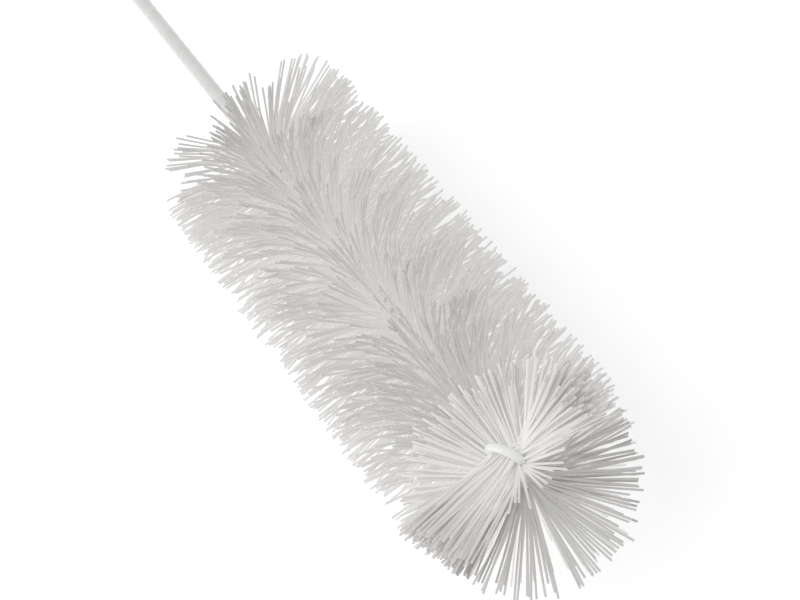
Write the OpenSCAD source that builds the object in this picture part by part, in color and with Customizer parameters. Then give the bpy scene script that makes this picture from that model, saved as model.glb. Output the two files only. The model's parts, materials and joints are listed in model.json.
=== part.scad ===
// Twisted-wire bottle brush with an up-turned tip.
// A single coated wire is folded in half and twisted, and grips rows of plastic filament between its
// two legs. The grip turns with the twist, so the filaments stand out as a double helix of bristles.
// The brush lies on its bristles on z = 0 with its core along +X, and its tip is turned up towards +Z.

/* [Head] */
// Diameter over the bristle tips
head_d = 60; // [50:1:70]
// Length of the straight core that carries bristles
straight_l = 108; // [100:1:140]
// Depth of the flat that the lowest bristles press into where they rest
rest_flat = 0.6; // [0.3:0.1:1]
// How far the first bristles lean back along the stem, in degrees
stem_splay = 4; // [0:1:40]
// Length of core over which that lean fades out
splay_l = 16; // [10:1:20]

/* [Wire] */
// Thickness of the coated wire
wire_d = 2; // [1.9:0.05:2.2]
// Length from the stem's plain end to the foremost bristle tips
overall_l = 372; // [320:1:420]
// Chamfer on the stem's cut end
end_chamfer = 0.5; // [0.2:0.1:0.8]
// Bare twist between the end of the stem and the first bristles
bare_l = 1.8; // [1.5:0.1:4]

/* [Tip] */
// Centreline radius of the bend that turns the tip up
bend_r = 8; // [8:0.5:10]
// Angle that the tip is turned up by, in degrees
bend_angle = 102; // [85:1:105]
// Length of twist past the bend, with bristles, up to the eyelet
upright_l = 5.5; // [3:0.5:7]
// Length of the eyelet's legs, up to its round end
eyelet_leg = 5; // [5:0.5:9]
// Outer width of the eyelet
eyelet_w = 9.6; // [9:0.1:11]
// Turn of the eyelet about its own length, in degrees from facing along the core
eyelet_turn = 27; // [10:1:45]
// Length of the foremost bristles, as a share of the others
tip_trim = 0.87; // [0.8:0.01:1]

/* [Filaments] */
// Cells of the gripped layer in each turn; a cell holds two filaments, each with two ends
cells = 15; // [10:1:18]
// Thickness of the gripped layer at its edges
layer_t = 0.65; // [0.6:0.01:0.68]
// Size of a filament's section at its tip, as a share of its section at the grip
tip_share = 0.8; // [0.6:0.05:0.95]
// Unevenness of the cut ends, as a share of the filament's length
ragged = 0.05; // [0:0.01:0.1]

/* [Hidden] */
TURNS = 20;

reach = head_d / 2;
axis_z = reach - rest_flat;
bend_l = bend_r * bend_angle * PI / 180;
held_l = straight_l + bend_l + upright_l;
pitch = held_l / TURNS;
stem_d = 2 * wire_d;
grip_r = 1.15 * wire_d;
arch_r = (eyelet_w - wire_d) / 2;

// The wire is a tube with flat sides; these keep its thickness and its grip true on average.
tube_sides = 6;
rings_per_turn = 8;
tube_r = wire_d / 2 / sqrt(cos(180 / tube_sides));
ring_gain = 1 / sqrt(cos(180 / rings_per_turn));

eyelet_cells = 12;
eyelet_layer_t = 1.2;
eyelet_grip = 0.6 * wire_d;
eyelet_reach = 0.9 * reach;

// The eyelet's bristles spread like a flower: low on its two open sides and steep at its two legs.
eyelet_fan = 80;
eyelet_rise_open = [14, 34];
eyelet_rise_leg = 58;

// Bristles on the inside of the bend are crowded together: they lean back before it and stand up past it.
crowd_l = 40;
crowd_lean = 30;
crowd_end = 45;

SEED = 11;
STEP = 0.01;

// Room above the surface below for the corners of a slanting cut end
corner_room = 0.12;

function turn_name(i) = str("bristle_turn_", i < 10 ? "0" : "", i);
function unit(v) = v / norm(v);
function mix(a, b, t) = a + (b - a) * t;
function ease(t) = t * t * (3 - 2 * t);

// The core's centreline, by the length s along it from the first bristle.
function bend_at(s) = bend_angle * max(0, min(1, (s - straight_l) / bend_l));
function core_dir(s) = [cos(bend_at(s)), 0, sin(bend_at(s))];
function core_in(s) = [-sin(bend_at(s)), 0, cos(bend_at(s))];
function core_at(s) =
    let (a = bend_at(s), past = max(0, s - straight_l - bend_l))
    [min(s, straight_l) + bend_r * sin(a), 0, bend_r * (1 - cos(a))] + past * core_dir(s);

// The legs' angle round the core; the twist is left-handed and dies away over the last half turn.
function twist_share(s) = max(0, min(1, 2 * (held_l - s) / pitch));
function turns_left(s) = let (q = (held_l - s) / pitch) q > 0.5 ? q - 0.25 : q > 0 ? q * q : 0;
function leg_angle(s) = 360 * turns_left(s) - eyelet_turn;
function radial(s, angle) = cos(angle) * core_in(s) + sin(angle) * [0, 1, 0];

// The gripped layer is pinched on the core's axis by the twist, and the legs close on it there.
function axis_gap(s) =
    let (slope = twist_share(s) * 2 * PI * grip_r / pitch)
    layer_t / sqrt(1 + slope * slope);
function leg_r(s) = (axis_gap(s) + wire_d) / 2 * ring_gain;

// The filaments pass between the legs, a quarter of a turn from them.
function grip_dir(s) = radial(s, leg_angle(s) + 90);
function grip_edge(s, r) = core_at(s) + r * grip_dir(s);
function layer_up(s, r) = unit(cross(grip_dir(s), grip_edge(s + STEP, r) - grip_edge(s - STEP, r)));
function edge_corners(s, r) = [for (side = [1, -1]) grip_edge(s, r) + side * layer_t / 2 * layer_up(s, r)];

// Lean of a bristle along the core: negative towards the stem.
function splay_lean(s) = -stem_splay * pow(max(0, 1 - s / splay_l), 2);
function crowd_at(s) =
    s < straight_l
        ? -crowd_lean * ease(max(0, 1 - (straight_l - s) / crowd_l))
        : mix(-crowd_lean, bend_angle - crowd_end, bend_at(s) / bend_angle);
function lean(s, dir) = splay_lean(s) + crowd_at(s) * max(0, dir * core_in(s));

// A bristle's run from the grip to its cut end, trimmed where it meets the surface below.
function run(s, side, uneven) =
    let (
        dir = side * grip_dir(s),
        tilt = lean(s, dir),
        way = cos(tilt) * dir + sin(tilt) * core_dir(s),
        whole = reach * mix(1, tip_trim, bend_at(s) / bend_angle) * (1 - ragged * uneven) - grip_r,
        root_z = axis_z + core_at(s).z + grip_r * dir.z,
        floor_l = way.z < 0 ? (root_z - corner_room) / -way.z : whole
    )
    way * min(whole, floor_l);

// The four ways of cell j in turn i, and the foremost point that any bristle reaches.
function cell_at(i, j) = (i - 1 + j / cells) * pitch;
function turn_uneven(i) = rands(0, 1, 4 * cells, SEED + i);
function cell_ways(i, j, uneven) =
    [for (k = [0:3]) run(cell_at(i, j + 0.3 + 0.4 * (k % 2)), k < 2 ? 1 : -1, uneven[4 * j + k])];
function tip_x(i, j, uneven) = let (s = cell_at(i, j + 0.5), ways = cell_ways(i, j, uneven))
    max(
        grip_edge(s, grip_r).x + max(ways[0].x, ways[1].x),
        grip_edge(s, -grip_r).x + max(ways[2].x, ways[3].x)
    );
front_x = max([
    for (i = [TURNS - 3:TURNS])
        let (uneven = turn_uneven(i))
        each [for (j = [0:cells - 1]) tip_x(i, j, uneven)]
]);
stem_l = overall_l - front_x - bare_l;
head_x = overall_l / 2 - front_x;

function tip_section(root, way) = let (c = (root[0] + root[1] + root[2]) / 3)
    [for (p = root) c + (p - c) * tip_share + way];

// Faces of a three-sided prism from root corners a, b, c to the tip corners that start at k.
function prism_faces(a, b, c, k) = [
    [k, k + 1, k + 2],
    [k + 1, k, a, b],
    [k + 2, k + 1, b, c],
    [k, k + 2, c, a]
];

// A layer of filaments side by side. Each edge holds the layer's four corners: top and bottom on the
// first side, then on the second. Each cell's ways are two on the first side and two on the second.
module filament_layer(edges, ways) {
    n = len(ways);
    first_tip = 4 * (n + 1);
    tips = [
        for (j = [0:n - 1])
            let (a = edges[j], b = edges[j + 1], w = ways[j])
            each concat(
                tip_section([a[0], b[1], a[1]], w[0]),
                tip_section([a[0], b[0], b[1]], w[1]),
                tip_section([b[2], a[2], a[3]], w[2]),
                tip_section([b[2], a[3], b[3]], w[3])
            )
    ];
    layer_faces = [
        for (j = [0:n - 1])
            let (a = 4 * j, b = 4 * (j + 1))
            each [[b, a, a + 2], [b, a + 2, b + 2], [a + 1, b + 1, b + 3], [a + 1, b + 3, a + 3]]
    ];
    filament_faces = [
        for (j = [0:n - 1])
            let (a = 4 * j, b = 4 * (j + 1), k = first_tip + 12 * j)
            each concat(
                prism_faces(a, b + 1, a + 1, k),
                prism_faces(a, b, b + 1, k + 3),
                prism_faces(b + 2, a + 2, a + 3, k + 6),
                prism_faces(b + 2, a + 3, b + 3, k + 9)
            )
    ];
    caps = [[0, 1, 2], [1, 3, 2], [4 * n + 1, 4 * n, 4 * n + 2], [4 * n + 3, 4 * n + 1, 4 * n + 2]];
    polyhedron(concat([for (e = edges) each e], tips), concat(caps, layer_faces, filament_faces));
}

module in_place() {
    translate([head_x, 0, axis_z]) children();
}

// One turn of the bristle helix: its filaments are pressed into one layer where the wire grips them.
module bristle_turn(i) {
    uneven = turn_uneven(i);
    edges = [
        for (j = [0:cells])
            let (s = cell_at(i, j))
            concat(edge_corners(s, grip_r), edge_corners(s, -grip_r))
    ];
    ways = [for (j = [0:cells - 1]) cell_ways(i, j, uneven)];
    color("gainsboro") in_place() filament_layer(edges, ways);
}

// Filaments through the eyelet, fanned out on both of its sides.
module eyelet_bristles() {
    across = radial(held_l, leg_angle(held_l));
    along = core_dir(held_l);
    through = cross(across, along);
    half_w = arch_r - wire_d / 2;
    middle = core_at(held_l + eyelet_leg);
    half_t = eyelet_layer_t / 2 * along;
    uneven = rands(0, 1, 4 * eyelet_cells, SEED);
    edges = [
        for (j = [0:eyelet_cells])
            let (c = middle + across * mix(-half_w, half_w, j / eyelet_cells), out = eyelet_grip * through)
            [c + out + half_t, c + out - half_t, c - out + half_t, c - out - half_t]
    ];
    ways = [
        for (j = [0:eyelet_cells - 1])
            [
                for (k = [0:3])
                    let (
                        u = 2 * (j + 0.3 + 0.4 * (k % 2)) / eyelet_cells - 1,
                        side = k < 2 ? 1 : -1,
                        rise = eyelet_rise_open[k == 1 || k == 2 ? 1 : 0],
                        open_way = cos(rise) * side * through + sin(rise) * along,
                        leg_way = sign(u) * cos(eyelet_rise_leg) * across + sin(eyelet_rise_leg) * along,
                        fan = eyelet_fan * abs(u),
                        length = eyelet_reach * (1 - ragged * uneven[4 * j + k])
                    )
                    length * unit(cos(fan) * open_way + sin(fan) * leg_way)
            ]
    ];
    color("whitesmoke") in_place() filament_layer(edges, ways);
}

// A round tube along a path of [point, outward direction] pairs.
module tube(path) {
    last = len(path) - 1;
    points = [
        for (i = [0:last])
            let (
                ahead = unit(path[min(i + 1, last)][0] - path[max(i - 1, 0)][0]),
                side = unit(cross(ahead, path[i][1])),
                out = cross(side, ahead)
            )
            for (k = [0:tube_sides - 1])
                let (a = 360 * (k + 0.5) / tube_sides)
                path[i][0] + tube_r * (cos(a) * out + sin(a) * side)
    ];
    skin = [
        for (i = [0:last - 1], k = [0:tube_sides - 1])
            let (a = i * tube_sides + k, b = i * tube_sides + (k + 1) % tube_sides)
            [b, a, a + tube_sides, b + tube_sides]
    ];
    start_cap = [for (k = [0:tube_sides - 1]) k];
    end_cap = [for (k = [tube_sides - 1:-1:0]) last * tube_sides + k];
    polyhedron(points, concat([start_cap, end_cap], skin));
}

// The wire's way: up the core in one leg, round the eyelet and back down in the other leg.
function leg_point(s, side) = let (out = side * radial(s, leg_angle(s))) [core_at(s) + leg_r(s) * out, out];
function eyelet_point(t, side) =
    let (out = side * radial(held_l, leg_angle(held_l)))
    [core_at(held_l + t * eyelet_leg) + mix(leg_r(held_l), arch_r, ease(t)) * out, out];
function arch_point(a) =
    let (
        across = radial(held_l, leg_angle(held_l)),
        out = cos(a) * across + sin(a) * core_dir(held_l)
    )
    [core_at(held_l + eyelet_leg) + arch_r * out, out];

// One wire, folded in half at the eyelet and twisted; the coating closes round both legs in the stem.
module coated_wire() {
    leg_rings = TURNS * rings_per_turn;
    leg_start = -bare_l - wire_d / 4;
    way = concat(
        [for (i = [0:leg_rings - 1]) leg_point(mix(leg_start, held_l, i / leg_rings), 1)],
        [for (i = [0:3]) eyelet_point(i / 4, 1)],
        [for (i = [0:8]) arch_point(180 * i / 8)],
        [for (i = [3:-1:0]) eyelet_point(i / 4, -1)],
        [for (i = [leg_rings - 1:-1:0]) leg_point(mix(leg_start, held_l, i / leg_rings), -1)]
    );
    color("white") in_place() {
        tube(way);
        translate([-bare_l, 0, 0]) rotate([0, -90, 0])
            cylinder(d = stem_d, h = stem_l - end_chamfer, $fn = 48);
        translate([end_chamfer - stem_l - bare_l, 0, 0]) rotate([0, -90, 0])
            cylinder(d1 = stem_d, d2 = stem_d - 2 * end_chamfer, h = end_chamfer, $fn = 48);
    }
}

coated_wire();
for (i = [1:TURNS]) bristle_turn(i);
eyelet_bristles();
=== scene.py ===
import json
import math

import bpy
import numpy as np
from mathutils import Matrix, Vector


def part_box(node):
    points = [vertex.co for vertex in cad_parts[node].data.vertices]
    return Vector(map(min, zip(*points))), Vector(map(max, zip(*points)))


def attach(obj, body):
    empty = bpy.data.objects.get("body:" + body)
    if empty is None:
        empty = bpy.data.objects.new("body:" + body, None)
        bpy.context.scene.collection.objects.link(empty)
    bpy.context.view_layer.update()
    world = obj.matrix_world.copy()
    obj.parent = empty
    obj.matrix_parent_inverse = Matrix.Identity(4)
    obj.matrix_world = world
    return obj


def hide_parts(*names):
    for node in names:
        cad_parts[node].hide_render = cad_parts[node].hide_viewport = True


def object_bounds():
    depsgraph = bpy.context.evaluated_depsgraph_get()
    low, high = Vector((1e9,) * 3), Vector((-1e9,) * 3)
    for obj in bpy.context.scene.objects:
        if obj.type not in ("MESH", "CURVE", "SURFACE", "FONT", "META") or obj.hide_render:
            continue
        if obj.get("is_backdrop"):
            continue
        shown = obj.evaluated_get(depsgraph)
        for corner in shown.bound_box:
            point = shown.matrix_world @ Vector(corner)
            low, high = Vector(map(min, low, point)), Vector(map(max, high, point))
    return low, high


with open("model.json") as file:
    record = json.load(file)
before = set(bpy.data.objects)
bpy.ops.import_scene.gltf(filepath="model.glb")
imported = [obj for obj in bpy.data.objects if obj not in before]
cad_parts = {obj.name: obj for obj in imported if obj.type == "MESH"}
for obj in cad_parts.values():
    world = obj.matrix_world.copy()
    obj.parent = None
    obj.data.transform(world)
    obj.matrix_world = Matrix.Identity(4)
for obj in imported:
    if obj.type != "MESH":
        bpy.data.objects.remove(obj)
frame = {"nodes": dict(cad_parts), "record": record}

cad_low, cad_high = (np.array(corner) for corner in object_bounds())

# ---------------------------------------------------------------- Coated wire
# One steel wire in a glossy white plastic coat, folded in half at the eyelet and twisted
# left-handed round the filaments. In the stem the coat has run together over both legs, so only a
# shallow relief of the twist is left there.

MM = 0.001
wire_r = 1 * MM
straight_l = 108 * MM  # core with bristles, up to the bend
bend_r = 8 * MM
bend_angle = math.radians(102)
upright_l = 5.5 * MM  # core with bristles, past the bend
leg_gap = 0.27 * MM  # kept open between the legs by the filaments
bare_l = 1.8 * MM  # bare twist behind the first bristles
eyelet_leg = 6.5 * MM
eyelet_turn = math.radians(30)
arch_r = 3.8 * MM
legs_part = 0.19 * MM  # how far each leg moves out on its way to the eyelet
end_chamfer = 0.5 * MM
relief = 0.1 * MM

turns = sum(name.startswith("bristle_turn") for name in frame["nodes"])
stem_mount = frame["record"]["mounts"][0]
stem_r = stem_mount["dims"]["r_mm"] * MM
core_z = stem_mount["pos_m"][2]
stem_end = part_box("coated_wire")[0].x
stem_top = stem_mount["pos_m"][0] + stem_mount["dims"]["length_mm"] * MM / 2
head_x = stem_top + bare_l

bend_l = bend_r * bend_angle
held_l = straight_l + bend_l + upright_l
pitch = held_l / turns


def unit(v):
    return v / np.linalg.norm(v, axis=-1, keepdims=True)


# The core's centreline, by the length s along it from the first bristle: how far it has turned, its
# direction, the side that faces the inside of the bend, and the place itself.
def bend_at(s):
    return bend_angle * np.clip((s - straight_l) / bend_l, 0, 1)


def core_dir(s):
    a = bend_at(s)
    return np.stack([np.cos(a), 0 * a, np.sin(a)], -1)


def core_in(s):
    a = bend_at(s)
    return np.stack([-np.sin(a), 0 * a, np.cos(a)], -1)


def core_at(s):
    a = bend_at(s)
    x = head_x + np.minimum(s, straight_l) + bend_r * np.sin(a)
    line = np.stack([x, 0 * a, core_z + bend_r * (1 - np.cos(a))], -1)
    return line + np.maximum(s - straight_l - bend_l, 0)[..., None] * core_dir(s)


def leg_angle(s):
    """The first leg's angle round the core. The twist dies away over its last half turn."""
    q = (held_l - s) / pitch
    return 2 * math.pi * np.where(q > 0.5, q - 0.25, np.maximum(q, 0) ** 2) - eyelet_turn


def radial(s, angle):
    return np.cos(angle)[..., None] * core_in(s) + np.sin(angle)[..., None] * np.array([0, 1, 0])


def rod(paths, out, radius, sides):
    """Points and faces of round rods along paths (rods, rings, 3), with capped ends."""
    ahead = unit(np.gradient(paths, axis=1))
    side = unit(np.cross(ahead, out))
    up = np.cross(side, ahead)
    a = 2 * math.pi * (np.arange(sides) + 0.5) / sides
    ring = up[:, :, None] * np.cos(a)[:, None] + side[:, :, None] * np.sin(a)[:, None]
    points = paths[:, :, None] + np.asarray(radius)[..., None, None] * ring
    rods, rings = paths.shape[:2]
    index = np.arange(rods * rings * sides).reshape(rods, rings, sides)
    beside = np.roll(index, -1, axis=2)
    skin = np.stack([index[:, :-1], index[:, 1:], beside[:, 1:], beside[:, :-1]], -1)
    caps = np.concatenate([index[:, 0], index[:, -1, ::-1]])
    return points.reshape(-1, 3), skin.reshape(-1, 4).tolist() + caps.tolist()


def piece(name, shells, material, shade):
    """One object of shells of points and faces, smooth but for edges sharper than 50 degrees.

    shade is the greyness of each point, which its material reads.
    """
    points, faces, start = [], [], 0
    for shell_points, shell_faces in shells:
        points.append(shell_points)
        faces += [[start + i for i in face] for face in shell_faces]
        start += len(shell_points)
    mesh = bpy.data.meshes.new(name)
    mesh.from_pydata(np.concatenate(points).tolist(), [], faces)
    mesh.attributes.new("greyness", "FLOAT", "POINT").data.foreach_set("value", shade.ravel())
    mesh.polygons.foreach_set("use_smooth", [True] * len(mesh.polygons))
    mesh.set_sharp_from_angle(angle=math.radians(50))
    mesh.materials.append(material)
    made = bpy.data.objects.new(name, mesh)
    bpy.context.scene.collection.objects.link(made)
    return made


def linear(colour):
    parts = [int(colour[i:i + 2], 16) / 255 for i in (1, 3, 5)]
    return tuple(c / 12.92 if c <= 0.04045 else ((c + 0.055) / 1.055) ** 2.4 for c in parts) + (1,)


def node(tree, kind, inputs=(), stops=(), **settings):
    """Add a node with its settings, its input links or values, and a ramp's stops."""
    made = tree.nodes.new(kind)
    for key, value in settings.items():
        setattr(made, key, value)
    for key, value in dict(inputs).items():
        if isinstance(value, bpy.types.NodeSocket):
            tree.links.new(value, made.inputs[key])
        else:
            made.inputs[key].default_value = value
    for index, (position, colour) in enumerate(stops):
        made.color_ramp.elements[index].position = position
        made.color_ramp.elements[index].color = linear(colour)
    return made


# Dip-coated polyamide over steel: a smooth milky gloss, with faint clouds of about 4.5 mm and a
# faint unevenness of about 1.1 mm from the dip. The stem is painted a little greyer than the legs
# in
# the head: painted light on the legs, for the light that the white filaments round them throw back.
coat = bpy.data.materials.new("polyamide_dip_coat")
coat.use_nodes = True
tree = coat.node_tree
shader = tree.nodes["Principled BSDF"]
place = node(tree, "ShaderNodeTexCoord").outputs["Object"]
cloud = node(tree, "ShaderNodeTexNoise", {
    "Vector": place, "Scale": 220, "Detail": 3, "Roughness": 0.5,
}).outputs["Fac"]
# Painted shade on the stem, and painted light on the legs in the head.
stem_shaded_ramp = node(tree, "ShaderNodeValToRGB", {"Fac": cloud}, ((0.3, "#DBDBD9"), (0.7, "#E4E4E2")))
head_lit_ramp = node(tree, "ShaderNodeValToRGB", {"Fac": cloud}, ((0, "#F4F4F2"), (1, "#F8F8F7")))
stem_share = node(tree, "ShaderNodeAttribute", attribute_name="greyness")
tint = node(tree, "ShaderNodeMix", {
    "Factor": stem_share.outputs["Fac"], 6: head_lit_ramp.outputs["Color"], 7: stem_shaded_ramp.outputs["Color"],
}, data_type="RGBA")
dip = node(tree, "ShaderNodeTexNoise", {"Vector": place, "Scale": 900, "Detail": 2})
dip_bump = node(tree, "ShaderNodeBump", {
    "Height": dip.outputs["Fac"], "Strength": 0.12, "Distance": 0.05 * MM,
})
gloss = node(tree, "ShaderNodeMapRange", {"Value": cloud, "To Min": 0.11, "To Max": 0.19})
tree.links.new(tint.outputs[2], shader.inputs["Base Color"])
tree.links.new(gloss.outputs["Result"], shader.inputs["Roughness"])
tree.links.new(dip_bump.outputs["Normal"], shader.inputs["Normal"])
shader.inputs["IOR"].default_value = 1.53

# The stem: rings along the rod, each with the two shallow valleys of the twist, and a chamfered
# end.
stem_sides, stem_step = 64, 0.4 * MM
stem_x = np.concatenate([
    [stem_end, stem_end + end_chamfer],
    np.arange(stem_end + end_chamfer + stem_step, stem_top, stem_step),
    [stem_top],
])
around = 2 * math.pi * np.arange(stem_sides) / stem_sides
valley = 0.5 - 0.5 * np.cos(2 * (around[None] - leg_angle(stem_x - head_x)[:, None]))
ring_r = stem_r - relief * valley
ring_r[0] = stem_r - end_chamfer - relief * valley[0]
stem_points = np.stack([
    np.broadcast_to(stem_x[:, None], ring_r.shape),
    ring_r * np.sin(around),
    core_z + ring_r * np.cos(around),
], -1)
index = np.arange(ring_r.size).reshape(ring_r.shape)
beside = np.roll(index, -1, axis=1)
stem_skin = np.stack([index[:-1], beside[:-1], beside[1:], index[1:]], -1).reshape(-1, 4)
stem_caps = [index[0, ::-1].tolist(), index[-1].tolist()]
stem_shell = (stem_points.reshape(-1, 3), stem_skin.tolist() + stem_caps)

# The two legs, one tube: from inside the stem up the core, round the eyelet and back down.
wire_sides, rings_per_turn, foot_rings, arch_rings = 24, 28, 10, 25
inside_stem = 0.5 * MM
leg_s = np.linspace(-bare_l - inside_stem, held_l, turns * rings_per_turn + 1)
leg_r = (leg_gap / 2 + wire_r) * np.ones(len(leg_s))
leg_r += legs_part * np.clip(1 - 2 * (held_l - leg_s) / pitch, 0, 1)
core_top = np.array([held_l])
across = radial(core_top, leg_angle(core_top))[0]
along = core_dir(core_top)[0]
eyelet_middle = core_at(core_top + eyelet_leg)[0]
legs = []
for side in (1, -1):
    out = side * radial(leg_s, leg_angle(leg_s))
    up = np.linspace(0, 1, foot_rings + 2)[1:-1]
    foot = core_at(held_l + up * eyelet_leg)
    spread = leg_r[-1] + (arch_r - leg_r[-1]) * (up * up * (3 - 2 * up))
    path = [core_at(leg_s) + leg_r[:, None] * out, foot + spread[:, None] * side * across]
    legs.append((
        np.concatenate(path),
        np.concatenate([out, np.broadcast_to(side * across, foot.shape)]),
    ))
arch_a = np.linspace(0, math.pi, arch_rings)
arch_out = np.cos(arch_a)[:, None] * across + np.sin(arch_a)[:, None] * along
wire_path = np.concatenate([legs[0][0], eyelet_middle + arch_r * arch_out, legs[1][0][::-1]])
wire_out = np.concatenate([legs[0][1], arch_out, legs[1][1][::-1]])
legs_shell = rod(wire_path[None], wire_out[None], wire_r * np.ones(len(wire_path)), wire_sides)
# Painted light and shade: 1 on the stem, which is painted greyer, and 0 on the legs in the head.
on_stem = np.concatenate([np.ones(len(stem_shell[0])), np.zeros(len(legs_shell[0]))])
wire = piece("coated_wire_twisted", [stem_shell, legs_shell], coat, on_stem)
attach(wire, "root")
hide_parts("coated_wire")

# ---------------------------------------------------------------- Bristle turns
# Straight nylon filaments, about 0.5 mm thick, laid across the wire before it was twisted. The legs
# grip each one by its middle, and the twist fans them out as a double helix.

filament_r = 0.27 * MM
filament_sides = 6
cut_end = 0.7  # size of the cut end, as a share of the filament
reach = 30 * MM
ragged = 0.07
tip_trim, trim_ahead = 0.87, 1.6  # the foremost bristles are shorter, from early in the bend on
filaments_per_turn = 60
dense_start, dense_end = 1.0, 0.15
stem_splay = math.radians(4)
splay_l = 16 * MM

# Filaments stray in tufts, and each a little on its own.
tuft_size = 3.5
tuft_stray, own_stray = math.radians(10), math.radians(1.5)
tuft_tilt, own_tilt = math.radians(6), math.radians(1)
tuft_bow, own_bow = 0.04, 0.02
calm_end = 0.55  # how much less the tufts of the last turns stray
first_tilt, first_sweep = 0.6, 1.6  # the first bristles tilt less, and are swept to one side

# Bristles inside the bend are crowded together: they lean back before it and stand up past it.
crowd_l = 40 * MM
crowd_lean = math.radians(30)
crowd_end = math.radians(45)

# Painted shade at the cut ends: the greyness of all, and what the topmost, the last and the
# foremost bristles add.
tip_grey, top_grey, last_grey, front_grey = 0.27, 0.24, -0.08, 0.64
# Painted shadow: the grips of the foremost bristles are painted grey, for the shaded hollow where
# they leave the core.
front_grip_grey = 0.78
fade = 1.7  # above 1, the greyness rises late on the way from the grip to the cut end

run_steps = np.append(np.linspace(0, 1, 9)[:-1], [0.995, 1.0])  # the last step is the cut end
lean_done = 3  # the lean is complete after one part in this many of the bristle's length
box_room = 0.4 * MM
floor_room = 1.3 * filament_r


def lean(s, way):
    """How far a bristle leans along the core: back at the stem, and clear of others in the bend."""
    splay = -stem_splay * np.maximum(0, 1 - s / splay_l) ** 2
    t = np.clip(1 - (straight_l - s) / crowd_l, 0, 1)
    before = -crowd_lean * t * t * (3 - 2 * t)
    past = -crowd_lean + (bend_angle - crowd_end + crowd_lean) * bend_at(s) / bend_angle
    crowd = np.where(s < straight_l, before, past)
    return splay + crowd * np.maximum(0, np.sum(way * core_in(s), -1))


def half(root, way, along, tilt, bow, length):
    """The run of each bristle from the grip to its cut end: along way, leaning by tilt and bowed.

    A bristle is shortened where it would leave the box sideways, and pressed flat on the floor.
    """
    v = (run_steps[1:] + run_steps[:-1]) / 2
    turn = tilt[:, None] * np.clip(v * lean_done, 0, 1)
    aim = np.cos(turn)[..., None] * way[:, None] + np.sin(turn)[..., None] * along[:, None]
    aim = unit(aim + v[None, :, None] * bow[:, None])
    step = (length[:, None] * np.diff(run_steps))[..., None] * aim
    run = np.cumsum(step, axis=1)
    lowest, highest = cad_low + box_room, cad_high - box_room
    room = np.where(run > 0, highest - root[:, None], root[:, None] - lowest)
    room = room / np.maximum(np.abs(run), 1e-9)
    run = run * np.minimum(1, room[:, :, :2].min(axis=(1, 2)))[:, None, None]
    points = root[:, None] + run
    points[:, :, 2] = np.clip(points[:, :, 2], floor_room, highest[2])
    return np.concatenate([root[:, None], points], axis=1)


def filaments(halves, out):
    path = np.concatenate([halves[1][:, ::-1], halves[0][:, 1:]], axis=1)
    radius = np.ones(path.shape[:2]) * filament_r
    radius[:, [0, -1]] *= cut_end
    return rod(path, out, radius, filament_sides)


def greyness(tips, grips):
    """How grey each point of the filaments is painted: painted light in the crowded middle, painted
    shade towards the ends.
    """
    run = np.append(0, run_steps[1:]) ** fade
    ends = [grip[:, None] + (tip - grip)[:, None] * run for tip, grip in zip(tips, grips)]
    shade = np.concatenate([ends[1][:, ::-1], ends[0][:, 1:]], axis=1)
    return np.repeat(shade[:, :, None], filament_sides, axis=2).clip(0, 1)


# Extruded nylon monofilament: milky, softly glossy, a little lighter or darker from one to the next
# and every 3 mm or so, with fine marks of about 0.4 mm from the die. Painted light and shade: it is
# painted whitest where the wire grips it, in the crowded middle, and painted greyer towards the cut
# ends. The faint glow stands in for the light that the milky filaments pass to each other, which is
# strongest where they crowd.
nylon = bpy.data.materials.new("nylon_monofilament")
nylon.use_nodes = True
tree = nylon.node_tree
shader = tree.nodes["Principled BSDF"]
place = node(tree, "ShaderNodeTexCoord").outputs["Object"]
strand = node(tree, "ShaderNodeNewGeometry").outputs["Random Per Island"]
haze = node(tree, "ShaderNodeTexNoise", {"Vector": place, "Scale": 350, "Detail": 2})
mixed = node(tree, "ShaderNodeMath", {
    0: strand, 1: haze.outputs["Fac"],
}, operation="MULTIPLY").outputs["Value"]
# The pale ramp is painted light and the grey ramp is painted shade, mixed by the greyness.
pale = node(tree, "ShaderNodeValToRGB", {"Fac": mixed}, ((0, "#F6F5F4"), (1, "#FBFAF9")))
grey = node(tree, "ShaderNodeValToRGB", {"Fac": mixed}, ((0, "#9C9997"), (1, "#AEABA8")))
ends = node(tree, "ShaderNodeAttribute", attribute_name="greyness").outputs["Fac"]
tint = node(tree, "ShaderNodeMix", {
    "Factor": ends, 6: pale.outputs["Color"], 7: grey.outputs["Color"],
}, data_type="RGBA")
die = node(tree, "ShaderNodeTexNoise", {"Vector": place, "Scale": 2500, "Detail": 1})
die_bump = node(tree, "ShaderNodeBump", {
    "Height": die.outputs["Fac"], "Strength": 0.15, "Distance": 0.02 * MM,
})
glow = node(tree, "ShaderNodeMix", {
    "Factor": ends, 6: linear("#FFFEFC"), 7: linear("#000000"),
}, data_type="RGBA")
tree.links.new(tint.outputs[2], shader.inputs["Base Color"])
tree.links.new(die_bump.outputs["Normal"], shader.inputs["Normal"])
tree.links.new(glow.outputs[2], shader.inputs["Emission Color"])
shader.inputs["Roughness"].default_value = 0.4
shader.inputs["IOR"].default_value = 1.53
shader.inputs["Emission Strength"].default_value = 0.1

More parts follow.
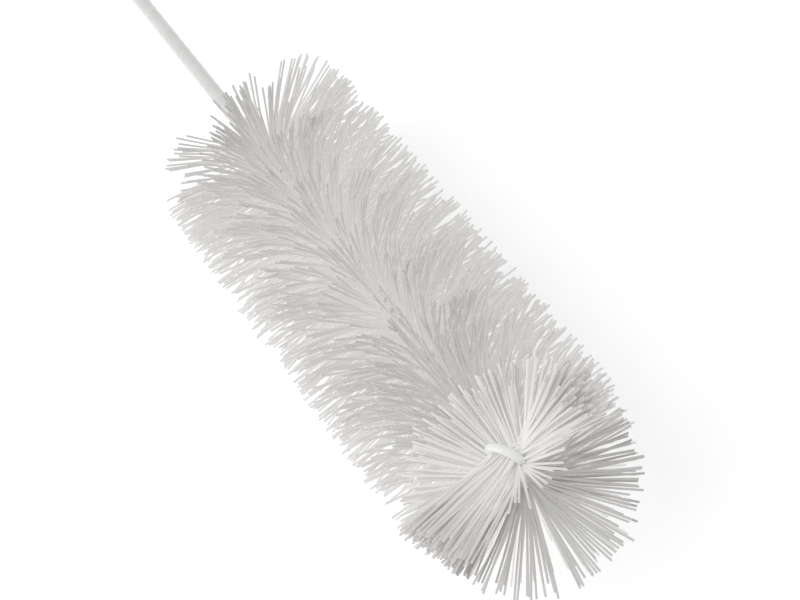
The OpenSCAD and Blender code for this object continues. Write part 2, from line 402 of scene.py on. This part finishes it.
for turn in range(turns):
    rng = np.random.default_rng(40 + turn)
    # The first two turns are denser. The last two are so too, a little, and their tufts stray less.
    first = max(0, 1 - turn / 2)
    last = np.clip((turn + 3 - turns) / 2, 0, 1)
    calm = 1 - calm_end * last
    n = round(filaments_per_turn * (1 + dense_start * first + dense_end * last))
    s = (turn + (np.arange(n) + rng.uniform(0, 1, n)) / n) * pitch
    root = core_at(s)
    halves, tips, grips = [], [], []
    for side in (1, -1):
        tuft = np.cumsum(rng.random(n) < 1 / tuft_size)
        stray = calm * rng.normal(0, tuft_stray, n + 1)[tuft] + rng.normal(0, own_stray, n)
        way = side * radial(s, leg_angle(s) + math.pi / 2 + stray)
        drift = calm * rng.normal(0, tuft_tilt, n + 1)[tuft] + rng.normal(0, own_tilt, n)
        sideways = np.abs(way[:, 1])
        swept = first_tilt * drift * (1 - sideways) - first_sweep * np.abs(drift) * way[:, 1]
        tilt = lean(s, way) + np.where(s < splay_l / 2, swept, drift)
        bow = rng.normal(0, tuft_bow, (n + 1, 3))[tuft] + rng.normal(0, own_bow, (n, 3))
        trim = (1 - tip_trim) * np.clip(trim_ahead * bend_at(s) / bend_angle, 0, 1)
        length = reach * (1 - trim) * (1 - ragged * rng.uniform(0, 1, n))
        halves.append(half(root, way, core_dir(s), tilt, bow, length))
        # The foremost bristles are those of the last turns that point ahead and not up: wholly from
        # a third of the way ahead on, and not at all from two thirds of the way up.
        ahead, level = 0.5 + 1.5 * way[:, 0], 1 - 1.5 * way[:, 2]
        front = last * np.clip(ahead, 0, 1) * np.clip(level, 0, 1)
        upward = np.maximum(0, way[:, 2]) ** 2
        # Painted shade: the cut ends greyer, the more so on the topmost and foremost bristles, and
        # the foremost grips grey for the shaded hollow.
        tips.append(tip_grey + top_grey * upward + last_grey * last + front_grey * front)
        grips.append(front_grip_grey * front)
    out = np.broadcast_to(core_dir(s)[:, None], (n, 2 * len(run_steps) - 1, 3))
    shell = filaments(halves, out)
    made = piece(f"bristles_{turn + 1:02d}", [shell], nylon, greyness(tips, grips))
    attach(made, "root")
    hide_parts(f"bristle_turn_{turn + 1:02d}")

# ---------------------------------------------------------------- Eyelet bristles
# The last filaments pass through the open eyelet. Nothing twists them, so they spread like a
# flower, low on the eyelet's two open sides and steep at its two legs.

wing_n, front_n = 150, 18
wing_l = 0.87 * reach
opening_r = arch_r - wire_r
rng = np.random.default_rng(7)
through = np.cross(across, along)
off_layer = 0.9 * MM  # where each filament turns out of the layer inside the eyelet

# Where the filaments cross the eyelet: across it as a share of its opening, and along it in mm. The
# waist is beside one leg, and waist_mm is how far the filaments spread there.
wing_across, wing_along = (-0.95, 0.95), (-5.5, 1.4)
front_across, front_along = -0.8, (-4, -1)
waist_across, waist_out, waist_mm = -0.85, 1.5 * MM, 0.4

# Azimuths are in degrees round from +X and rises in degrees above level, each with its stray. The
# unevenness is how much shorter some filaments are cut.
ribbon_azimuth, ribbon_fan, ribbon_stray, ribbon_uneven = -74, -7, 4, 0.12
ribbon_rise, ribbon_rise_stray, ribbon_rises = 22, 7, (2, 38)
spread_azimuths, spread_uneven = (60, 102), 0.14
spread_rise, spread_rise_stray, spread_rises = 40, 8, (18, 64)
front_azimuths, front_stray, front_uneven = (-32, 56), 2, 0.1
front_rise, front_rise_stray = 58.5, 2.5
back_azimuth, back_stray, back_uneven = -80, 5, 0.12
back_rise, back_rise_stray = 18, 6

# Painted shade at the eyelet filaments' cut ends, and a little at their grips.
pinched_grey, ribbon_grey, wing_grip_grey = 0.4, 0.46, 0.1


def aimed(azimuth, rise):
    azimuth, rise = np.radians(azimuth), np.radians(rise)
    level = np.cos(rise)
    return np.stack([np.cos(azimuth) * level, np.sin(azimuth) * level, np.sin(rise)], -1)


def straight(start, way, uneven):
    length = wing_l * (1 - uneven * rng.uniform(0, 1, len(way)))
    return start[:, None] + (length[:, None] * run_steps)[..., None] * way[:, None]


# The open wing leaves the whole width of the eyelet as a flat ribbon. The pinched one is drawn
# together to a waist beside one leg and spreads again from there.
n = wing_n
u = rng.uniform(*wing_across, n)
root = eyelet_middle + opening_r * u[:, None] * across
root = root + rng.uniform(*wing_along, n)[:, None] * MM * along
ribbon_way = aimed(
    ribbon_azimuth + ribbon_fan * u + rng.normal(0, ribbon_stray, n),
    rng.normal(ribbon_rise, ribbon_rise_stray, n).clip(*ribbon_rises),
)
ribbon = straight(root - off_layer * through, ribbon_way, ribbon_uneven)
spread_way = aimed(
    rng.uniform(*spread_azimuths, n),
    rng.normal(spread_rise, spread_rise_stray, n).clip(*spread_rises),
)
waist = eyelet_middle + waist_across * opening_r * across + waist_out * through
spread = straight(waist + rng.normal(0, waist_mm, (n, 3)) * MM, spread_way, spread_uneven)

# Filaments that stand up in front of the eyelet, from its open side round to the pinched one.
n = front_n
front_way = aimed(
    np.linspace(*front_azimuths, n) + rng.normal(0, front_stray, n),
    rng.normal(front_rise, front_rise_stray, n),
)
front_root = eyelet_middle + front_across * opening_r * across
front_root = front_root + rng.uniform(*front_along, n)[:, None] * MM * along
front = straight(front_root + off_layer * front_way, front_way, front_uneven)
back_way = aimed(
    rng.normal(back_azimuth, back_stray, n),
    rng.normal(back_rise, back_rise_stray, n),
)
back = straight(front_root - off_layer * through, back_way, back_uneven)

root = np.concatenate([root, front_root])
halves = [
    np.concatenate([root[:, None], np.concatenate(pair)[:, 1:]], axis=1)
    for pair in ((spread, front), (ribbon, back))
]
out = np.broadcast_to(along, (len(root), 2 * len(run_steps) - 1, 3))
# Painted light and shade, as on the turns: whitest at the grips and greyer towards the cut ends.
every = np.ones(len(root))
shade = greyness([pinched_grey * every, ribbon_grey * every], [wing_grip_grey * every] * 2)
made = piece("eyelet_wings", [filaments(halves, out)], nylon, shade)
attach(made, "root")
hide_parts("eyelet_bristles")

# ---------------------------------------------------------------- Floor, light and camera
# A plain white table top with a faint light of its own, so that it stays almost white. A round
# softbox hangs overhead, a larger one stands low at the side, and the camera looks down on the tip.

# Matt white laminate: almost even, with a mottle of about 33 mm that hardly shows.
floor_paint = bpy.data.materials.new("matt_white_laminate")
floor_paint.use_nodes = True
tree = floor_paint.node_tree
shader = tree.nodes["Principled BSDF"]
place = node(tree, "ShaderNodeTexCoord").outputs["Object"]
mottle = node(tree, "ShaderNodeTexNoise", {"Vector": place, "Scale": 30, "Detail": 2})
tint = node(tree, "ShaderNodeValToRGB", {
    "Fac": mottle.outputs["Fac"],
}, ((0, "#F0F0F0"), (1, "#F3F3F3")))
tree.links.new(tint.outputs["Color"], shader.inputs["Base Color"])
shader.inputs["Roughness"].default_value = 0.8
shader.inputs["Emission Color"].default_value = (1, 1, 1, 1)
shader.inputs["Emission Strength"].default_value = 0.3

mesh = bpy.data.meshes.new("floor")
mesh.from_pydata([(-3, -3, 0), (3, -3, 0), (3, 3, 0), (-3, 3, 0)], [], [(0, 1, 2, 3)])
mesh.materials.append(floor_paint)
floor = bpy.data.objects.new("floor", mesh)
bpy.context.scene.collection.objects.link(floor)
floor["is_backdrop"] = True

world = bpy.data.worlds.new("studio")
world.use_nodes = True
world.node_tree.nodes["Background"].inputs["Color"].default_value = (1, 1, 1, 1)
world.node_tree.nodes["Background"].inputs["Strength"].default_value = 0.72
bpy.context.scene.world = world

# Each softbox: its size in metres, its power in watts, and the way to it from the head.
softboxes = {
    "overhead": (0.6, 1.6, (-0.15, -0.3, 0.94)),
    "side_fill": (0.8, 2.1, (-0.1, -0.92, 0.38)),
}
aim, away = Vector((0.08, 0, 0.02)), 1.1
for name, (size, energy, way) in softboxes.items():
    softbox = bpy.data.lights.new(name, "AREA")
    softbox.shape, softbox.size, softbox.energy = "DISK", size, energy
    hung = bpy.data.objects.new(name, softbox)
    way = Vector(way).normalized()
    hung.location = aim + away * way
    hung.rotation_euler = way.to_track_quat("Z", "Y").to_euler()
    bpy.context.scene.collection.objects.link(hung)

lens = bpy.data.cameras.new("camera")
lens.lens = 60.75
camera = bpy.data.objects.new("camera", lens)
eye = Vector((head_x + straight_l + 96.6 * MM, 3.4 * MM, core_z + 291.4 * MM))
back = Vector((0.4478, 0, 0.8942))
up = Vector((-0.694, 0.6306, 0.3475))
up = (up - up.dot(back) * back).normalized()
turned = Matrix((up.cross(back), up, back)).transposed().to_4x4()
camera.matrix_world = Matrix.Translation(eye) @ turned
bpy.context.scene.collection.objects.link(camera)
bpy.context.scene.camera = camera
bpy.context.scene.view_settings.view_transform = "Standard"
